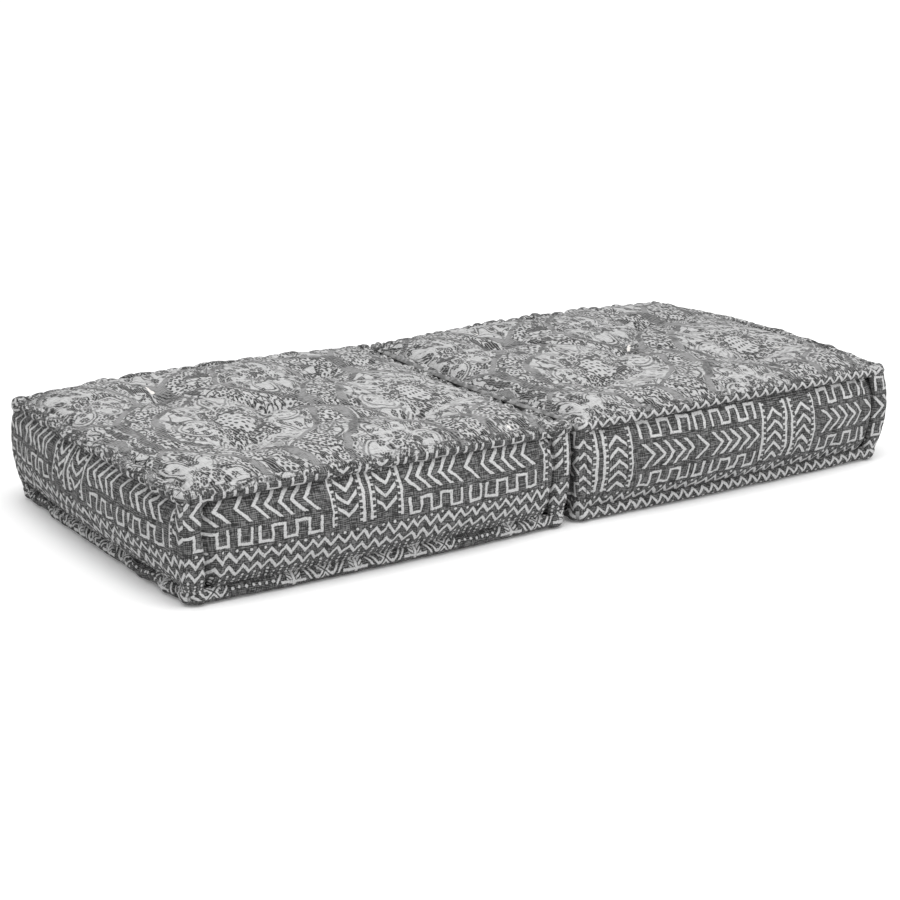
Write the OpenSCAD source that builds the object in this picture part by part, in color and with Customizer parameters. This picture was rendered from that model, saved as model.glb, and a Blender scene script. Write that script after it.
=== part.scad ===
// Modular pouf: two tufted floor cushions joined along their inner top edges, so that the pair folds.
// Each cushion is drawn on the +X side, and the left one is its mirror image about the fold.
// Millimetres. The origin is on the floor under the middle of the fold line, +X along the pair, +Z up.

/* [Cushion] */
// Length of one cushion along the pair, from the fold to its outer corner ears
module_w = 670; // [600:5:720]
// Depth of a cushion from front to back, over its corner ears
module_d = 626; // [560:2:680]
// Height of the crown, and of the edge rolls at the middle of each free side
crown_h = 178; // [174:1:184]
// Height of the top edge roll's centre at the corners
corner_h = 159; // [156:1:161]

/* [Edge rolls] */
// Radius of the stuffed rolls sewn along the top and bottom edges
roll_r = 11; // [9:0.5:12]
// Extra radius of the corner ears, where two rolls meet
ear_extra = 1.6; // [1:0.1:2]
// Radius of the upright rolls on the corners
corner_roll_r = 8.5; // [6:0.5:10]

/* [Side shape] */
// How far the free top edges bow outward at their middle
top_bow = 12; // [8:1:18]
// How far the free bottom edges bow outward at their middle
bottom_bow = 8; // [4:1:12]
// How far the bottom roll lies inside the top roll on the free sides
bottom_inset = 6; // [3:1:12]
// Bulge of the free sides at the middle of their height
side_bulge = 20; // [12:1:26]
// Bulge that is left of it at the corners
corner_bulge = 9; // [6:1:12]
// How far the bottom roll lies back from the top roll on the side that faces the other cushion
inner_inset = 7; // [4:1:14]
// Bulge of the side that faces the other cushion
inner_bulge = 12; // [6:1:13]
// Bulge that is left of it at the corners
inner_corner_bulge = 2; // [1:0.5:5]

/* [Tufts] */
// Distance of the four outer tufts from the middle one, along the pair
tuft_x = 155; // [130:1:175]
// Distance of the four outer tufts from the middle one, from front to back
tuft_y = 150; // [130:1:170]
// Depth to which a tuft draws the top cover down
tuft_depth = 20; // [12:1:26]
// Reach of a tuft's dimple
tuft_reach = 40; // [34:1:50]
// Radius of the tufting twine
twine_r = 1.1; // [0.8:0.1:1.5]
// Radius of the knots at both ends of the twine
knot_r = 3.4; // [3:0.1:4.5]
// Radius of the small pocket round each knot underneath
pocket_r = 14; // [10:0.5:18]
// Depth of that pocket
pocket_h = 9; // [8:0.5:12]

/* [Cloth and fits] */
// Thickness of the cover cloth
cloth = 1.5; // [1:0.1:2]
// Clearance between neighbouring pieces
gap = 0.4; // [0.3:0.05:0.6]
// Thickness of the hinge tape
tape = 1.2; // [0.8:0.1:1.5]
// Length of roll at each end of the fold that the hinge tape leaves free
tape_end = 26; // [16:1:60]
// Angle of roll that the tape is sewn round, from the fold line up
tape_wrap = 62; // [40:1:80]

/* [Hidden] */

top_cloth = "Silver";
side_cloth = "DimGray";
plain_cloth = "Gray";
cotton = "Ivory";
twine_colour = "Gainsboro";

FRONT = 0;
END = 1;
BACK = 2;
INNER = 3;

// Grid squares along each side of the top, and rows and columns of a side band
grid_n = 20;
band_cols = 10;
band_rows = 4;
// Smoothness of the round pieces, of the hinge tape, and of a whole turn of the rolls' long curves
round_fn = 32;
tape_fn = 96;
curve_fn = 720;

ear_r = roll_r + ear_extra;
// How far the rolls stop short of a corner, inside its ear, and how far the ear clears the floor
ear_hold = 4;
ear_lift = 0.2;
seat = roll_r + gap;
rim_slack = 0.3;
rim_seat = seat + rim_slack;
edge_rise = crown_h - roll_r - corner_h;
bottom_roll_z = ear_r + ear_lift;
// Plan of the top roll's centre line at the corners
inner_x = ear_r + gap;
outer_x = module_w - ear_r;
end_y = module_d / 2 - ear_r;
mid_x = (inner_x + outer_x) / 2;
half_x = (outer_x - inner_x) / 2;
// The bands stop short of the leaning corner rolls, and the bottom cover under the edge of its roll
lean_clear = 1.2;
band_end = corner_roll_r + lean_clear;
under_edge = 4.6;
// Powers that set how evenly a side bulges along its length, and how square the crown's edge is
bulge_power = 4;
crown_power = 6;
// How far a through cut runs past a face
cut = 1;
// Nominal tuft places from a cushion's middle, and how far each was set by hand from there
tuft_grid = [[0, 0], [-1, -1], [1, -1], [1, 1], [-1, 1]];
left_hand_set = [[-16, 14], [-10, 8], [7, 4], [8, 10], [-9, 6]];
right_hand_set = [[6, -2], [-7, 6], [9, 4], [6, -9], [-4, 8]];
hand_reach = 70;
knot_seat = 0.3;
twine_slip = 0.2;
pocket_z = pocket_h - cloth;

function lerp(a, b, t) = a + (b - a) * t;
function flatten(rows) = [for (row = rows) each row];
function swell(t) = 4 * t * (1 - t);
function bowed(s) = 1 - s * s;
function is_inner(side) = side == INNER;

// Height of the top roll's centre: it sags to the corners, and runs level along the fold
function top_roll_z(side, s) = corner_h + (is_inner(side) ? 0 : edge_rise * bowed(s));

// Outward place of a side's cloth, measured from the top roll's corner line; t runs up from 0 to 1
function inset_of(side) = is_inner(side) ? inner_inset : bottom_inset;
function bulge_of(side) = is_inner(side) ? inner_bulge : side_bulge;
function corner_bulge_of(side) = is_inner(side) ? inner_corner_bulge : corner_bulge;
function bow_of(side, t) = is_inner(side) ? 0 : lerp(bottom_bow, top_bow, t);
function corner_out(side, t) = corner_bulge_of(side) * swell(t) - inset_of(side) * (1 - t);
function side_out(side, s, t) =
    corner_out(side, t) + bow_of(side, t) * bowed(s)
    + (bulge_of(side) - corner_bulge_of(side)) * swell(t) * (1 - pow(s, bulge_power));

// Plan lines through the corners at height t
function inner_line(t) = inner_x - corner_out(INNER, t);
function outer_line(t) = outer_x + corner_out(END, t);
function end_line(t) = end_y + corner_out(FRONT, t);

// A point on a side: s runs counter-clockwise from -1 to 1, and stops short of the corners by end_gap
function side_xy(side, s, t, out, end_gap) =
    let (along_x = lerp(inner_line(t) + end_gap, outer_line(t) - end_gap, (1 + s) / 2),
         along_back = lerp(outer_line(t) - end_gap, inner_line(t) + end_gap, (1 + s) / 2),
         along_y = s * (end_line(t) - end_gap))
    side == FRONT ? [along_x, -end_y - out]
    : side == END ? [outer_x + out, along_y]
    : side == BACK ? [along_back, end_y + out]
    : [inner_x - out, -along_y];

// Tufts
function nominal_tuft(k) = [mid_x + tuft_grid[k][0] * tuft_x, tuft_grid[k][1] * tuft_y];
function tufts(hand_set) = [for (k = [0:len(tuft_grid) - 1]) nominal_tuft(k) + hand_set[k]];
function dimple(p, places) =
    max([for (q = places) tuft_depth * exp(-pow(norm(p - q) / tuft_reach, 2))]);
function add_up(list, i = 0) = i >= len(list) ? [0, 0] : list[i] + add_up(list, i + 1);
// The weave of the top is drawn along with the tufts, so that a grid point lies on each of them
function drawn(p, hand_set) =
    p + add_up([for (k = [0:len(hand_set) - 1])
        hand_set[k] * exp(-pow(norm(p - nominal_tuft(k)) / hand_reach, 2))]);

// Top cover: a runs from the fold to the outer end, b from front to back, both from -1 to 1
function grid_w(i) = lerp(-1, 1, i / grid_n);
// Grid lines are spaced so that one of them passes through each row of tufts
function spaced(w, near, far) =
    abs(w) <= 0.5 ? 2 * w * near : sign(w) * lerp(near, far, 2 * abs(w) - 1);
function across(w) = spaced(w, tuft_x, half_x - rim_seat);
function deep(w) = spaced(w, tuft_y, end_y - rim_seat);
function top_xy(a, b) =
    [mid_x + spaced(a, tuft_x, half_x - rim_seat + (a > 0 ? top_bow * bowed(deep(b) / end_y) : 0)),
     spaced(b, tuft_y, end_y - rim_seat + top_bow * bowed(across(a) / half_x))];
function fullness(w) = 1 - pow(w, crown_power);
function rim_z(a, b) =
    let (u = across(a) / half_x, v = deep(b) / end_y)
    corner_h + cloth / 2
    + edge_rise * (pow(v, crown_power) * bowed(u) + pow(max(u, 0), crown_power) * bowed(v));
function top_z(p, a, b, places) =
    let (full = fullness(across(a) / (half_x - rim_seat)) * fullness(deep(b) / (end_y - rim_seat)))
    lerp(rim_z(a, b), crown_h, full) - dimple(p, places);
function top_point(i, j, hand_set) =
    let (a = grid_w(i), b = grid_w(j), p = drawn(top_xy(a, b), hand_set))
    [p[0], p[1], top_z(p, a, b, tufts(hand_set))];
// The height to which a tuft draws the cover down
function tuft_z(k, hand_set) =
    top_z(tufts(hand_set)[k], tuft_grid[k][0] / 2, tuft_grid[k][1] / 2, tufts(hand_set));

// The fill's top follows the cover's grid, and stops a little short of its rim
rim_step = 0.1;
function short_of_rim(i) = min(max(i, rim_step), grid_n - rim_step);
function inside_grid(i, j, hand_set) =
    let (a = short_of_rim(i), b = short_of_rim(j), a0 = floor(a), b0 = floor(b),
         a1 = ceil(a), b1 = ceil(b),
         low = lerp(top_point(a0, b0, hand_set), top_point(a1, b0, hand_set), a - a0),
         high = lerp(top_point(a0, b1, hand_set), top_point(a1, b1, hand_set), a - a0))
    lerp(low, high, b - b0);
function fill_top(i, j, hand_set) = inside_grid(i, j, hand_set) - [0, 0, cloth + gap];

// Round the rim of the grid, counter-clockwise from the front corner by the fold
function rim_side(k) = floor(k / grid_n);
function rim_step_of(k) = k % grid_n;
function rim_ij(k) =
    let (side = rim_side(k), m = rim_step_of(k))
    side == FRONT ? [m, 0] : side == END ? [grid_n, m]
    : side == BACK ? [grid_n - m, grid_n] : [0, grid_n - m];
function rim_s(k) = lerp(-1, 1, rim_step_of(k) / grid_n);

// A point of a side band's grid, off its middle surface
function side_height(side, s, t) =
    lerp(bottom_roll_z + seat, top_roll_z(side, s) - seat, t);
function band_point(side, col, row, off) =
    let (s = lerp(-1, 1, col / band_cols), t = row / band_rows,
         xy = side_xy(side, s, t, side_out(side, s, t) + off, band_end))
    [xy[0], xy[1], side_height(side, s, t)];
// The same between the grid's points, on its flat facets
function on_band(side, s, t, off) =
    let (col = (1 + s) / 2 * band_cols, row = t * band_rows, c = floor(col), r = floor(row),
         low = lerp(band_point(side, c, r, off), band_point(side, ceil(col), r, off), col - c),
         high = lerp(
             band_point(side, c, ceil(row), off), band_point(side, ceil(col), ceil(row), off), col - c))
    lerp(low, high, row - r);

// The fill keeps off the bottom roll at the floor, and reaches out over it and under the top roll
fill_under = cloth + gap;
roll_clear = 3.5;
roll_reach = 2.5;
reach_clear = 1;
roll_keep = roll_r + roll_clear;
roll_side = roll_r - roll_reach;
roll_over = roll_r + reach_clear;
// Between the rolls it follows the bands, and keeps off their facets and the corner rolls
corner_clear = 0.5;
facet_clear = 0.9;
corner_keep = band_end + corner_clear;
skin_keep = cloth / 2 + gap + facet_clear;
// Heights of its rows there, as shares of a band's height
fill_rows = [0.12, 0.5, 0.88];
function fill_by_roll(k, t, off, z) =
    let (side = rim_side(k), s = rim_s(k), keep = rim_step_of(k) == 0 ? max(off, corner_keep) : off,
         xy = side_xy(side, s, t, side_out(side, s, t) - keep, max(off, corner_keep)))
    [xy[0], xy[1], z];
function fill_by_band(k, t) =
    let (side = rim_side(k), s = rim_s(k),
         xy = side_xy(side, s, t, corner_out(side, t) - corner_keep, corner_keep))
    rim_step_of(k) == 0 ? [xy[0], xy[1], side_height(side, s, t)] : on_band(side, s, t, -skin_keep);
function fill_sides() =
    let (turn = [0:4 * grid_n - 1])
    [[for (k = turn) fill_by_roll(k, 0, roll_keep, fill_under)],
     [for (k = turn) fill_by_roll(k, 0, roll_side, bottom_roll_z + roll_over)],
     each [for (t = fill_rows) [for (k = turn) fill_by_band(k, t)]],
     [for (k = turn) fill_by_roll(k, 1, roll_side, top_roll_z(rim_side(k), rim_s(k)) - roll_over)]];

// A closed sheet between two grids of points that have the same rows and columns
module sheet(upper, lower) {
    rows = len(upper);
    cols = len(upper[0]);
    count = rows * cols;
    at = function(r, c) r * cols + c;
    skin = [for (r = [0:rows - 2], c = [0:cols - 2]) each [
        [at(r, c), at(r + 1, c), at(r + 1, c + 1)],
        [at(r, c), at(r + 1, c + 1), at(r, c + 1)]]];
    back = [for (f = skin) [f[2] + count, f[1] + count, f[0] + count]];
    loop = concat(
        [for (c = [0:cols - 2]) at(0, c)], [for (r = [0:rows - 2]) at(r, cols - 1)],
        [for (c = [cols - 1:-1:1]) at(rows - 1, c)], [for (r = [rows - 1:-1:1]) at(r, 0)]);
    rim = [for (k = [0:len(loop) - 1])
        let (a = loop[k], b = loop[(k + 1) % len(loop)])
        each [[a, b, b + count], [a, b + count, a + count]]];
    polyhedron(points = concat(flatten(upper), flatten(lower)), faces = concat(skin, back, rim));
}

// Sweeps a flat section on an arc from a to b, which swells by sag in the direction of lift
module arc_sweep(a, b, lift, sag) {
    chord = b - a;
    half = norm(chord) / 2;
    along = chord / norm(chord);
    square = lift - along * (lift * along);
    outward = square / norm(square);
    bend = (half * half + sag * sag) / (2 * sag);
    sweep = asin(half / bend);
    side = cross(outward, along);
    centre = (a + b) / 2 + outward * (sag - bend);
    multmatrix([
        [outward[0], along[0], side[0], centre[0]],
        [outward[1], along[1], side[1], centre[1]],
        [outward[2], along[2], side[2], centre[2]],
        [0, 0, 0, 1]])
        rotate([0, 0, -sweep])
            rotate_extrude(angle = 2 * sweep, $fn = curve_fn)
                translate([bend, 0])
                    children();
}

module roll_section() {
    circle(r = roll_r, $fn = round_fn);
}

// Both cushions are made by the same modules
module placed(left) {
    if (left)
        mirror([1, 0, 0]) children();
    else
        children();
}

module cotton_fill(left) {
    hand_set = left ? left_hand_set : right_hand_set;
    turn = 4 * grid_n;
    sides = fill_sides();
    cap = [for (i = [0:grid_n], j = [0:grid_n]) fill_top(i, j, hand_set)];
    points = concat(flatten(sides), cap, [[mid_x, 0, fill_under]]);
    cap_at = len(sides) * turn;
    ring = function(row, k) row < len(sides)
        ? row * turn + k % turn
        : cap_at + rim_ij(k % turn)[0] * (grid_n + 1) + rim_ij(k % turn)[1];
    walls = [for (row = [0:len(sides) - 1], k = [0:turn - 1]) each [
        [ring(row, k), ring(row + 1, k), ring(row + 1, k + 1)],
        [ring(row, k), ring(row + 1, k + 1), ring(row, k + 1)]]];
    top = [for (i = [0:grid_n - 1], j = [0:grid_n - 1])
        let (a = cap_at + i * (grid_n + 1) + j, b = a + grid_n + 1)
        each [[a, b + 1, b], [a, a + 1, b + 1]]];
    under = [for (k = [0:turn - 1]) [len(points) - 1, ring(0, k), ring(0, k + 1)]];
    color(cotton)
        placed(left)
            difference() {
                polyhedron(points = points, faces = concat(walls, top, under));
                for (p = tufts(hand_set))
                    translate([p[0], p[1], -cut]) {
                        cylinder(r = twine_r + gap, h = crown_h, $fn = round_fn);
                        cylinder(r = pocket_r + gap, h = cut + pocket_h + gap, $fn = round_fn);
                    }
            }
}

module top_cover(left) {
    hand_set = left ? left_hand_set : right_hand_set;
    upper = [for (i = [0:grid_n]) [for (j = [0:grid_n]) top_point(i, j, hand_set)]];
    lower = [for (row = upper) [for (p = row) p - [0, 0, cloth]]];
    color(top_cloth)
        placed(left)
            difference() {
                sheet(lower, upper);
                for (p = tufts(hand_set))
                    translate([p[0], p[1], 0])
                        cylinder(r = twine_r + gap, h = crown_h, $fn = round_fn);
            }
}

module side_band(left, side) {
    wall = function(off)
        [for (row = [0:band_rows]) [for (col = [0:band_cols]) band_point(side, col, row, off)]];
    color(side_cloth)
        placed(left)
            sheet(wall(cloth / 2), wall(-cloth / 2));
}

// The outline of the bottom cover, inside the bottom roll
module bottom_outline() {
    polygon([for (k = [0:4 * grid_n - 1])
        let (side = rim_side(k), s = rim_s(k))
        side_xy(side, s, 0, bow_of(side, 0) * bowed(s) - inset_of(side) - under_edge, under_edge)]);
}

module bottom_cover(left) {
    hand_set = left ? left_hand_set : right_hand_set;
    color(plain_cloth)
        placed(left)
            union() {
                difference() {
                    linear_extrude(cloth) bottom_outline();
                    for (p = tufts(hand_set))
                        translate([p[0], p[1], -cut])
                            cylinder(r = pocket_r - cloth, h = cloth + 2 * cut, $fn = round_fn);
                }
                for (p = tufts(hand_set))
                    translate([p[0], p[1], 0])
                        pocket();
            }
}

// The cloth cup that a tuft draws up into the underside
module pocket() {
    rotate_extrude($fn = round_fn)
        polygon([
            [twine_r + gap, pocket_z], [pocket_r - cloth, pocket_z], [pocket_r - cloth, 0],
            [pocket_r, 0], [pocket_r, pocket_h], [twine_r + gap, pocket_h]]);
}

// Corners of a roll, counter-clockwise from the front corner by the fold
function ring_corner(k, t, z) =
    [k == 1 || k == 2 ? outer_line(t) : inner_line(t), k < 2 ? -end_line(t) : end_line(t), z];
function side_dir(side) = [[0, -1, 0], [1, 0, 0], [0, 1, 0], [-1, 0, 0]][side];

// The rolls end inside the ears, short of each other
function pulled(a, b) = a + (b - a) / norm(b - a) * ear_hold;

module free_side_rolls(t, z, bow, rise) {
    for (side = [FRONT, END, BACK]) {
        a = ring_corner(side, t, z);
        b = ring_corner(side + 1, t, z);
        arc_sweep(
            pulled(a, b), pulled(b, a), side_dir(side) * bow + [0, 0, rise], norm([bow, rise]))
            roll_section();
    }
}

module fold_side_roll(t, z) {
    translate([inner_line(t), end_line(t) - ear_hold, z])
        rotate([90, 0, 0])
            linear_extrude(2 * (end_line(t) - ear_hold))
                roll_section();
}

module edge_roll(t, z, bow, rise) {
    union() {
        free_side_rolls(t, z, bow, rise);
        fold_side_roll(t, z);
        for (k = [0:3])
            translate(ring_corner(k, t, z))
                sphere(r = ear_r, $fn = round_fn);
    }
}

module top_roll(left) {
    color(top_cloth)
        placed(left)
            edge_roll(1, corner_h, top_bow, edge_rise);
}

module bottom_roll(left) {
    color(side_cloth)
        placed(left)
            edge_roll(0, bottom_roll_z, bottom_bow, 0);
}

// Height of a corner roll's end over the middle of an ear, so that its leaning face clears the ear
function end_rest(lean) = ear_r / cos(lean) + gap;
// Lean of an arc's ends, for a sag and half its chord
function end_lean(sag, half) = 2 * atan(sag / half);

module corner_rolls(left) {
    half = (corner_h - bottom_roll_z) / 2;
    color(side_cloth)
        placed(left)
            for (k = [0:3]) {
                x_side = k == 1 || k == 2 ? END : INNER;
                y_side = k < 2 ? FRONT : BACK;
                swelling = side_dir(x_side) * corner_bulge_of(x_side)
                    + side_dir(y_side) * corner_bulge_of(y_side);
                sag = norm(swelling);
                tilt = atan(norm([inset_of(x_side), inset_of(y_side)]) / (2 * half));
                lean = end_lean(sag, half - end_rest(end_lean(sag, half - ear_r) + tilt)) + tilt;
                arc_sweep(
                    ring_corner(k, 0, bottom_roll_z + end_rest(lean)),
                    ring_corner(k, 1, corner_h - end_rest(lean)), swelling, sag)
                    circle(r = corner_roll_r, $fn = round_fn);
            }
}

bottom_knot_z = pocket_z - knot_seat - knot_r;
function top_knot_z(k, hand_set) = tuft_z(k, hand_set) + knot_seat + knot_r;

module tuft_twine(left) {
    hand_set = left ? left_hand_set : right_hand_set;
    low_z = bottom_knot_z - knot_r;
    color(twine_colour)
        placed(left)
            for (k = [0:len(tuft_grid) - 1])
                translate([tufts(hand_set)[k][0], tufts(hand_set)[k][1], low_z])
                    cylinder(
                        r = twine_r, h = top_knot_z(k, hand_set) + knot_r - low_z, $fn = round_fn);
}

module knot() {
    difference() {
        sphere(r = knot_r, $fn = round_fn);
        translate([0, 0, -2 * knot_r])
            cylinder(r = twine_r + twine_slip, h = 4 * knot_r, $fn = round_fn);
    }
}

module knots(left, top) {
    hand_set = left ? left_hand_set : right_hand_set;
    color(twine_colour)
        placed(left)
            for (k = [0:len(tuft_grid) - 1])
                translate([
                    tufts(hand_set)[k][0], tufts(hand_set)[k][1],
                    top ? top_knot_z(k, hand_set) : bottom_knot_z])
                    knot();
}

module hinge_tape(left) {
    outer = roll_r + gap + tape;
    color(plain_cloth)
        placed(left)
            translate([inner_x, end_y - tape_end, corner_h])
                rotate([90, 0, 0])
                    linear_extrude(2 * (end_y - tape_end))
                        intersection() {
                            difference() {
                                circle(r = outer, $fn = tape_fn);
                                circle(r = roll_r + gap, $fn = tape_fn);
                            }
                            polygon([
                                [0, 0], [-2 * outer, 0],
                                [-2 * outer, 2 * outer * tan(tape_wrap / 2)],
                                [-2 * outer * cos(tape_wrap), 2 * outer * sin(tape_wrap)]]);
                        }
}

cotton_fill(true);  // left_cotton_fill
top_cover(true);  // left_top_cover
bottom_cover(true);  // left_bottom_cover
side_band(true, FRONT);  // left_front_band
side_band(true, END);  // left_end_band
side_band(true, BACK);  // left_back_band
side_band(true, INNER);  // left_inner_band
top_roll(true);  // left_top_roll
bottom_roll(true);  // left_bottom_roll
corner_rolls(true);  // left_corner_rolls
tuft_twine(true);  // left_tuft_twine
knots(true, true);  // left_top_knots
knots(true, false);  // left_bottom_knots
hinge_tape(true);  // left_hinge_tape
cotton_fill(false);  // right_cotton_fill
top_cover(false);  // right_top_cover
bottom_cover(false);  // right_bottom_cover
side_band(false, FRONT);  // right_front_band
side_band(false, END);  // right_end_band
side_band(false, BACK);  // right_back_band
side_band(false, INNER);  // right_inner_band
top_roll(false);  // right_top_roll
bottom_roll(false);  // right_bottom_roll
corner_rolls(false);  // right_corner_rolls
tuft_twine(false);  // right_tuft_twine
knots(false, true);  // right_top_knots
knots(false, false);  // right_bottom_knots
hinge_tape(false);  // right_hinge_tape
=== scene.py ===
# Modular pouf: two tufted floor cushions, joined along their inner top edges so that the pair folds.
# Metres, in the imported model's frame: the origin is on the floor under the fold, +X along the pair, +Z up.
import math

import bpy
import numpy as np
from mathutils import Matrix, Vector


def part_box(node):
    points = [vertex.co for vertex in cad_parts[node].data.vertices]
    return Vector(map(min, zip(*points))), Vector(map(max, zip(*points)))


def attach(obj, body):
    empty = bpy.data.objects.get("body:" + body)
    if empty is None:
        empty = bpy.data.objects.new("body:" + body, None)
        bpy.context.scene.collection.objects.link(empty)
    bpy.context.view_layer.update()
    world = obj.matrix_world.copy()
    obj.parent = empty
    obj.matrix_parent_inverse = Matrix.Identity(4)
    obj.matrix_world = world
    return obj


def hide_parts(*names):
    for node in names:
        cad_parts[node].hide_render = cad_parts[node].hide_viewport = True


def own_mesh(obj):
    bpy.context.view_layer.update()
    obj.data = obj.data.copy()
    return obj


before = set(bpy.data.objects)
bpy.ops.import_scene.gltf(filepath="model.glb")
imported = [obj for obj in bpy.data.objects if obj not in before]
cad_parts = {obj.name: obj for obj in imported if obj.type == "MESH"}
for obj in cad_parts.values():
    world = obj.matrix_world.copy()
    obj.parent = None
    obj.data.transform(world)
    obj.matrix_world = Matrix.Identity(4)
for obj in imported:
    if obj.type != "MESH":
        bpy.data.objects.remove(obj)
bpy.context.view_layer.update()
scene = bpy.context.scene

# Camera, floor and light
# A still-life set: a pale floor, a white surround, a large soft lamp overhead and a weaker one at the front right.
# The camera looks down on the pair from its left front corner, through a long lens.
camera = bpy.data.objects.new("camera", bpy.data.cameras.new("camera"))
scene.collection.objects.link(camera)
scene.camera = camera
camera.location = (-1.77486, -2.65619, 0.99375)
camera.rotation_euler = (math.radians(73.52), 0, math.radians(-33.37))
camera.data.lens = 79.2
camera.data.sensor_width = 36
camera.data.clip_end = 60

scene.view_settings.view_transform = "Standard"


class Val:
    """A socket of a material's node tree, so that arithmetic on it adds nodes."""

    def __init__(self, socket):
        self.socket = socket

    def node(self, kind, inputs, out=0, stops=(), **settings):
        """Adds a node: its settings first, then the values or links of its sockets."""
        tree = self.socket.id_data
        made = tree.nodes.new(kind)
        for name, setting in settings.items():
            setattr(made, name, setting)
        for at, (place, colour) in enumerate(stops):
            stop = made.color_ramp.elements[at] if at < 2 else made.color_ramp.elements.new(place)
            stop.position = place
            stop.color = colour
        for name, given in inputs.items():
            if isinstance(given, Val):
                tree.links.new(given.socket, made.inputs[name])
            else:
                made.inputs[name].default_value = given
        return Val(made.outputs[out])

    def math(self, operation, *others, clamp=False):
        return self.node("ShaderNodeMath", dict(enumerate((self,) + others)), operation=operation, use_clamp=clamp)

    def __add__(self, other):
        return self.math("ADD", other)

    def __sub__(self, other):
        return self.math("SUBTRACT", other)

    def __rsub__(self, other):
        return self.math("MULTIPLY_ADD", -1, other)

    def __mul__(self, other):
        return self.math("MULTIPLY", other)

    def __truediv__(self, other):
        return self.math("DIVIDE", other)

    def __mod__(self, other):
        return self.math("FLOORED_MODULO", other)

    def __gt__(self, other):
        return self.math("GREATER_THAN", other)

    def __abs__(self):
        return self.math("ABSOLUTE")

    def __and__(self, other):
        return self.math("MINIMUM", other)

    def __or__(self, other):
        return self.math("MAXIMUM", other)

    __radd__, __rmul__ = __add__, __mul__


FLOOR_SIZE = 40
FLOOR_GREY = 0.80
FLOOR_GLOW = 0.46
NEAR_GLOW, GLOW_FROM, GLOW_REACH = 0.22, 0.5, 3.2
WORLD_LIGHT = 0.62
LOOK_AT = (0, 0, 0.1)
KEY_PLACE, KEY_SIZE, KEY_POWER = (-0.35, -0.6, 2.6), 2.2, 50
FRONT_PLACE, FRONT_SIZE, FRONT_POWER = (1.9, -3.0, 1.6), 1.8, 18
half_floor = FLOOR_SIZE / 2
floor_mesh = bpy.data.meshes.new("floor")
floor_mesh.from_pydata(
    [(x * half_floor, y * half_floor, 0) for x, y in ((-1, -1), (1, -1), (1, 1), (-1, 1))], [], [(0, 1, 2, 3)])
floor = bpy.data.objects.new("floor", floor_mesh)
scene.collection.objects.link(floor)


def new_material(name):
    """A bare material, its shader, and its output socket."""
    made = bpy.data.materials.new(name)
    made.use_nodes = True
    made.node_tree.nodes.clear()
    surface = made.node_tree.nodes.new("ShaderNodeOutputMaterial").inputs["Surface"]
    return made, surface


def mixed(low, high, share):
    """A colour between two colours, which are values or tuples."""
    return share.node("ShaderNodeMix", {0: share, 6: low, 7: high}, out=2, data_type="RGBA")


def vector_math(operation, *values, out=0):
    """A Vector Math node, which takes a vector and what else its operation needs."""
    return values[0].node("ShaderNodeVectorMath", dict(enumerate(values)), out=out, operation=operation)


floor_paint, floor_surface = new_material("studio_floor")
seen = Val(floor_paint.node_tree.nodes.new("ShaderNodeLightPath").outputs["Is Camera Ray"])
floor_place = Val(floor_paint.node_tree.nodes.new("ShaderNodeTexCoord").outputs["Object"])
from_lamp = vector_math("DISTANCE", floor_place, (*KEY_PLACE[:2], 0), out=1)
far_off = (from_lamp - GLOW_FROM).math("DIVIDE", GLOW_REACH, clamp=True)
glow_colour = mixed((NEAR_GLOW, NEAR_GLOW, NEAR_GLOW, 1), (1, 1, 1, 1), far_off)
glow = seen.node("ShaderNodeEmission", {"Color": glow_colour, "Strength": seen * FLOOR_GLOW})
matt = seen.node("ShaderNodeBsdfDiffuse", {"Color": mixed((FLOOR_GREY, FLOOR_GREY, FLOOR_GREY, 1), (1, 1, 1, 1), seen)})
lit = seen.node("ShaderNodeAddShader", {0: glow, 1: matt})
floor_paint.node_tree.links.new(lit.socket, floor_surface)
floor_mesh.materials.append(floor_paint)

world = bpy.data.worlds.new("studio")
scene.world = world
world.use_nodes = True
world.node_tree.nodes.clear()
sky_out = world.node_tree.nodes.new("ShaderNodeOutputWorld")
path = world.node_tree.nodes.new("ShaderNodeLightPath")
direct = Val(path.outputs["Is Camera Ray"]) | Val(path.outputs["Is Glossy Ray"])
sky = direct.node("ShaderNodeBackground", {"Color": (1, 1, 1, 1), "Strength": direct * (1 - WORLD_LIGHT) + WORLD_LIGHT})
world.node_tree.links.new(sky.socket, sky_out.inputs["Surface"])


def lamp(name, place, size, power):
    """A square area lamp that faces the cushions."""
    made = bpy.data.objects.new(name, bpy.data.lights.new(name, "AREA"))
    made.data.size = size
    made.data.energy = power
    made.location = place
    made.rotation_euler = (Vector(LOOK_AT) - Vector(place)).to_track_quat("-Z", "Y").to_euler()
    scene.collection.objects.link(made)


lamp("key_lamp", KEY_PLACE, KEY_SIZE, KEY_POWER)
lamp("front_lamp", FRONT_PLACE, FRONT_SIZE, FRONT_POWER)

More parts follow.
